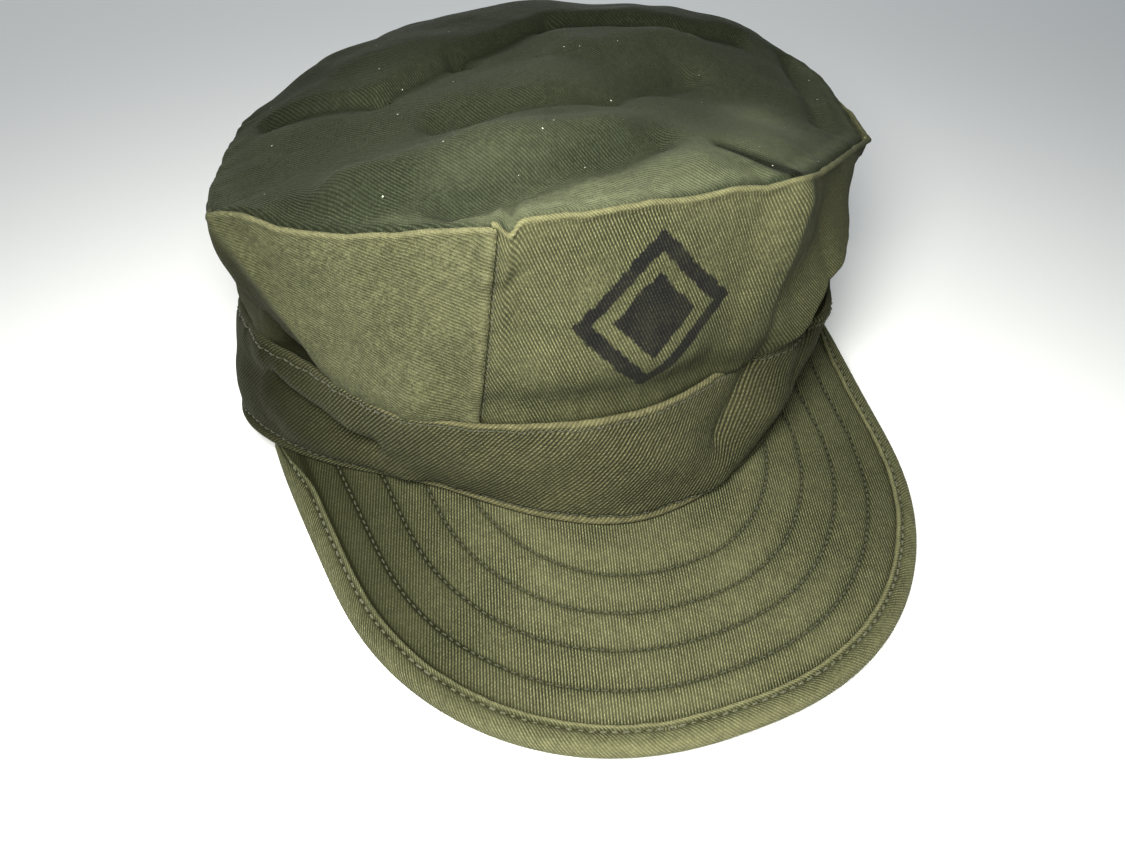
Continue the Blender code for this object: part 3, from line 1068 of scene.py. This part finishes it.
def build_sweatband(material):
    angle = np.arange(BAND_COLUMNS // 2) * 4 * PI / BAND_COLUMNS
    round_mm = degrees_round(angle) * MM_PER_DEGREE
    section = sweatband_section()
    rows = []
    for rise, out in section:
        pucker = 0.25 * MM * PUCKER(round_mm, rise / MM * 0.3 + 60, 4.0)
        rows.append(band_surface(angle, rise, out - np.abs(pucker)))
    points = np.stack(rows)
    cloth = stack(round_mm[None, :] * MM, section[:, :1], 0)
    piece = grid_piece("sweatband_cloth", points, cloth, ring=True)
    thicken(piece, CLOTH, 0.0)
    finish_piece(piece, "sweatband", material)


def build_band_threads(material):
    angle = np.linspace(0, 2 * PI, 1200)
    normals = stack(np.sin(angle), -np.cos(angle), 0)
    places = {"top": (BAND_HEIGHT - 0.0017, BAND_WALL), "bottom": (HEM_HEIGHT + 0.0007, 0.0006)}
    for seed, (edge, (rise, out)) in enumerate(places.items()):
        runs = [(band_surface(angle, np.full(angle.shape, rise), out), normals)]
        piece = stitch_piece(f"headband_{edge}_thread", runs, 60 + seed, HEADBAND_STITCH)
        finish_piece(piece, f"headband_{edge}_stitch", material)


# ---- visor

VISOR_COLUMNS = 330
VISOR_LEVELS = 112


def visor_grid(edge_inset, tuck):
    """Spots over the visor from its edge, moved in a little, to beneath the headband."""
    side = np.linspace(-0.992, 0.992, VISOR_COLUMNS)
    deepest = np.maximum(root_inset(side, tuck), edge_inset + 0.0005)
    share = np.linspace(0, 1, VISOR_LEVELS)[:, None]
    inset = edge_inset + (deepest - edge_inset)[None, :] * share
    x, y = visor_edge(side[None, :], inset)
    return x, y, inset


# The underside's cloth and relief are taken from this far along the same patterns.
UNDER_SHIFT = 0.3


def visor_wear_and_light(x, inset):
    """Painted highlights on the ridges between the stitch rows; painted shade in the rows, along
    the binding's edge and towards both ends of the visor.
    """
    wear_and_painted_light = 0.12 * bump(inset, 0.0100, 0.0028) + 0 * x
    for row in ROW_INSETS:
        wear_and_painted_light -= 0.80 * bump(inset, row, 0.0005)
        wear_and_painted_light += 0.07 * bump(inset, row + 0.0045, 0.0025)
    wear_and_painted_light -= 0.5 * bump(inset, BINDING_WIDTH, 0.0007)
    wear_and_painted_light -= 0.85 * smooth((-x - 0.034) / 0.055)
    wear_and_painted_light -= 0.24 * smooth((x - 0.030) / 0.05)
    return wear_and_painted_light


def build_visor_layers(top_material, under_material, card_material):
    x, y, inset = visor_grid(COVER_INSET, VISOR_TUCK)
    points = stack(x, y, visor_top(x, y, inset))
    piece = grid_piece("visor_top_cloth", points, stack(x, y, 0), visor_wear_and_light(x, inset))
    thicken(piece, CLOTH)
    finish_piece(piece, "visor_top_cover", top_material)

    points = stack(x, y, visor_underside(x, y) - visor_relief(x + UNDER_SHIFT, y, inset) * 0.7)
    piece = grid_piece("visor_under_cloth", points, stack(x + UNDER_SHIFT, y, 0), flip=True)
    thicken(piece, CLOTH)
    finish_piece(piece, "visor_bottom_cover", under_material)

    x, y, _ = visor_grid(BOARD_INSET, VISOR_TUCK - 0.0005)
    middle = visor_underside(x, y) + VISOR_THICKNESS / 2
    piece = grid_piece("visor_board", stack(x, y, middle), stack(x, y, 0))
    thicken(piece, BOARD_THICKNESS, 0.0)
    finish_piece(piece, "visor_stiffener", card_material)


BINDING_BLUR = (-0.03, -0.02, -0.01, 0.0, 0.01, 0.02, 0.03)
BINDING_TOP = VISOR_THICKNESS / 2 + 0.0009
# The binding's upper half: distance from its folded inner edge, and height over BINDING_TOP.
BINDING_PROFILE = (
    (0.0, -0.0009),
    (-0.0001, -0.0004),
    (0.0003, 0.0002),
    (0.0008, 0.0003),
    (0.0012, 0.0000),
    (0.0017, -0.0003),
    (0.0022, 0.0000),
    (0.0028, 0.0003),
    (0.0036, 0.0004),
    (0.0044, 0.0002),
    (0.0051, -0.0002),
    (0.0057, -0.0009),
    (0.0061, -0.0017),
    (0.00625, -0.0024),
)
# The point of the profile along which the tape's length is measured.
LENGTH_POINT = 7


def binding_section():
    """(distance from the fold, height over the visor's middle): above, then back below."""
    above = [(from_fold, BINDING_TOP + lift) for from_fold, lift in BINDING_PROFILE]
    below = [(from_fold, -height) for from_fold, height in reversed(above)]
    return np.array(above + below)


def binding_squeeze(share):
    """How much of its full height the binding has where it is narrower."""
    return 0.55 + 0.45 * share


def binding_share(side):
    """How much of its full width the binding has: it tapers where the visor runs out."""
    room = root_inset(side, 0.0)
    taper = np.minimum(1.0, np.maximum(0.42 * room, 0.0012) / BINDING_WIDTH)
    return sum(np.interp(side + step, side, taper) for step in BINDING_BLUR) / len(BINDING_BLUR)


def build_binding(material):
    side = np.linspace(-0.994, 0.994, 520)
    section = binding_section()
    share = binding_share(side)
    round_mm = side * 150
    rows = []
    for from_fold, height in section:
        x, y = visor_edge(side, (BINDING_WIDTH - from_fold) * share)
        z = visor_underside(x, y) + VISOR_THICKNESS / 2 + height * binding_squeeze(share)
        pucker = PUCKER(round_mm, from_fold * 300, 3.2) * 0.16
        pucker = pucker + WRINKLE(round_mm, 9.0, 9) * 0.18
        z = z + np.sign(height) * pucker * MM * smooth((0.0060 - from_fold) / 0.003)
        rows.append(stack(x, y, z))
    points = np.stack(rows)
    length = path_length(points[LENGTH_POINT])
    cloth = stack(length[None, :], path_length(section)[:, None], 0)
    from_fold = section[:, :1]
    above = (section[:, 1:] > 0) * 1.0
    # Paler along the folded edge and near the rim; painted shade along the stitch line and towards
    # the visor's left end.
    wear_and_painted_light = 0.35 * bump(from_fold, 0.0006, 0.0007) * above + 0 * side[None, :]
    wear_and_painted_light += 0.25 * bump(from_fold, 0.0056, 0.0014)
    wear_and_painted_light -= 0.80 * bump(from_fold, BINDING_WIDTH - BINDING_STITCH_INSET, 0.0005)
    wear_and_painted_light = wear_and_painted_light - 0.25 * smooth((-points[..., 0] - 0.03) / 0.05)
    piece = grid_piece("visor_binding_tape", points, cloth, wear_and_painted_light, flip=True)
    thicken(piece, TAPE_THICKNESS)
    finish_piece(piece, "visor_binding", material)


def build_row_threads(material):
    side = np.linspace(-0.97, 0.97, 1500)
    up = straight_up(len(side))
    for number, row in enumerate(ROW_INSETS):
        x, y = visor_edge(side, row)
        clear = ~inside_band(x, y, 0.0)
        inset = np.full(side.shape, row)
        above = stack(x, y, visor_top(x, y, inset) + 0.0001)[clear]
        below = stack(x, y, visor_underside(x, y) + 0.00015)[clear]
        runs = [(above, up[clear]), (below, -up[clear])]
        name = f"visor_row_thread_{number + 1}"
        piece = stitch_piece(name, runs, 70 + 2 * number, VISOR_ROW_STITCH)
        finish_piece(piece, f"visor_stitch_row_{number + 1}", material)


def build_binding_thread(material):
    side = np.linspace(-0.965, 0.965, 1500)
    up = straight_up(len(side))
    share = binding_share(side)
    x, y = visor_edge(side, BINDING_STITCH_INSET * share)
    middle = visor_underside(x, y) + VISOR_THICKNESS / 2
    rise = (VISOR_THICKNESS / 2 + 0.0006) * binding_squeeze(share)
    runs = [(stack(x, y, middle + rise), up), (stack(x, y, middle - rise), -up)]
    piece = stitch_piece("visor_binding_thread", runs, 90, BINDING_STITCH)
    finish_piece(piece, "visor_binding_stitch", material)


# ---- everything


OLIVE = (84, 85, 63)


def build_cap():
    # The top's cloth is darker than the olive: partly its own tone, partly painted shade for the
    # dim light on the top.
    top = cloth_material("top_cloth", (53, 58, 45), -52, 0.00072, 0.8, 0.22, lint=0.35, rub_and_light=4.0)
    # The left panel's cloth is a shade darker than the olive: painted shade.
    left = cloth_material("left_cloth", (81, 82, 62), -20, 0.00075, 0.75, 0.42)
    front = cloth_material("front_cloth", OLIVE, -60, 0.00070, 0.88, -0.05, mark=front_mark)
    right = cloth_material("right_cloth", OLIVE, 98, 0.00072, 0.92, -0.15)
    rear = cloth_material("rear_cloth", OLIVE, 40, 0.00075, 0.80, 0.10)
    band = cloth_material("band_cloth", (76, 76, 56), 52, 0.00092, 0.95, -0.30)
    sweat = cloth_material("sweat_cloth", (100, 100, 76), 0, 0.00080, 0.30, 0.0)
    visor = cloth_material("visor_top_cloth", (91, 92, 69), 74, 0.00078, 0.95, -0.25)
    under = cloth_material("visor_low_cloth", (88, 89, 67), 74, 0.00078, 0.95, -0.25)
    tape = cloth_material("binding_tape_cloth", (93, 94, 71), 45, 0.00070, 0.80, 0.0)
    crown_thread = thread_material("crown_seam_thread", (60, 61, 42))
    band_thread = thread_material("headband_seam_thread", (58, 59, 44))
    visor_thread = thread_material("visor_seam_thread", (62, 64, 47))
    binding_thread = thread_material("binding_seam_thread", (82, 83, 64))
    build_crown_top(top)
    sides = {"front": front, "right": right, "rear": rear, "left": left}
    for number, (name, cloth) in enumerate(sides.items()):
        build_side_panel(number, name, cloth, rear)
    build_crown_threads(crown_thread)
    build_headband(band)
    build_sweatband(sweat)
    build_band_threads(band_thread)
    build_visor_layers(visor, under, board_material("visor_card"))
    build_binding(tape)
    build_row_threads(visor_thread)
    build_binding_thread(binding_thread)


# ---- floor, lights and camera

FLOOR_LEVEL = -0.0008
FLOOR_HALF_SIZE = 1.5
FLOOR_POINTS = 60
FLOOR_COLOUR = (246, 247, 247)


def build_floor():
    span = np.linspace(-FLOOR_HALF_SIZE, FLOOR_HALF_SIZE, FLOOR_POINTS)
    x, y = np.meshgrid(span, span)
    mesh = bpy.data.meshes.new("floor")
    points = stack(x, y, FLOOR_LEVEL).reshape(-1, 3)
    mesh.from_pydata(points.tolist(), [], grid_faces(FLOOR_POINTS, FLOOR_POINTS).tolist())
    floor = bpy.data.objects.new("floor", mesh)
    bpy.context.scene.collection.objects.link(floor)
    graph = Graph("floor_paper")
    graph.surface("Base Color", tint(FLOOR_COLOUR))
    graph.surface("Roughness", 0.95)
    graph.surface("Specular IOR Level", 0.1)
    mesh.materials.append(graph.material)


# Yaw, pitch and roll are in degrees and the lens in millimetres.
CAMERA_PLACE = (-0.0804, -0.1907, 0.1955)
CAMERA_YAW = 22.0
CAMERA_PITCH = -44.57
CAMERA_ROLL = 1.936
CAMERA_LENS = 27.04
# The key light is a flash just above and to the left of the camera.
LIGHT_SHIFT = (-0.02, 0.015, 0.05)
VISOR_ROOT = (0.0, -0.06, 0.04)
CAP_MIDDLE = (0, 0, 0.04)


def area_light(name, place, aim, size, power, colour):
    data = bpy.data.lights.new(name, "AREA")
    data.shape = "DISK"
    data.size = size
    data.energy = power
    data.color = colour
    light = bpy.data.objects.new(name, data)
    light.location = place
    light.rotation_euler = (Vector(aim) - Vector(place)).to_track_quat("-Z", "Y").to_euler()
    bpy.context.scene.collection.objects.link(light)


def light_scene():
    beside = Vector(CAMERA_PLACE) + Vector(LIGHT_SHIFT)
    area_light("key", beside, VISOR_ROOT, 0.12, 1.85, (1.0, 0.985, 0.92))
    area_light("rear", (0.5, 1.2, 0.22), CAP_MIDDLE, 0.8, 6.0, (0.92, 0.97, 1.0))
    area_light("rear_left", (-1.0, 0.9, 0.25), CAP_MIDDLE, 0.8, 4.0, (1.0, 0.98, 0.95))
    world = bpy.data.worlds.new("soft_room")
    world.use_nodes = True
    ground = world.node_tree.nodes["Background"]
    ground.inputs["Color"].default_value = (0.86, 0.93, 1.0, 1)
    ground.inputs["Strength"].default_value = 0.18
    bpy.context.scene.world = world
    view = bpy.context.scene.view_settings
    view.view_transform = "Standard"
    view.look = "Medium High Contrast"


def place_camera():
    data = bpy.data.cameras.new("camera")
    data.sensor_width = 36
    data.lens = CAMERA_LENS
    data.clip_start = 0.01
    camera = bpy.data.objects.new("camera", data)
    yaw, pitch, roll = (np.radians(v) for v in (CAMERA_YAW, CAMERA_PITCH, CAMERA_ROLL))
    ahead = Vector((np.sin(yaw) * np.cos(pitch), np.cos(yaw) * np.cos(pitch), np.sin(pitch)))
    level = ahead.cross(Vector((0, 0, 1))).normalized()
    upright = level.cross(ahead)
    right = level * np.cos(roll) + upright * np.sin(roll)
    up = upright * np.cos(roll) - level * np.sin(roll)
    turn = Matrix((right, up, -ahead)).transposed().to_4x4()
    camera.matrix_world = Matrix.Translation(CAMERA_PLACE) @ turn
    bpy.context.scene.collection.objects.link(camera)
    bpy.context.scene.camera = camera


def main():
    build_cap()
    build_floor()
    light_scene()
    place_camera()
    bpy.context.view_layer.update()


main()
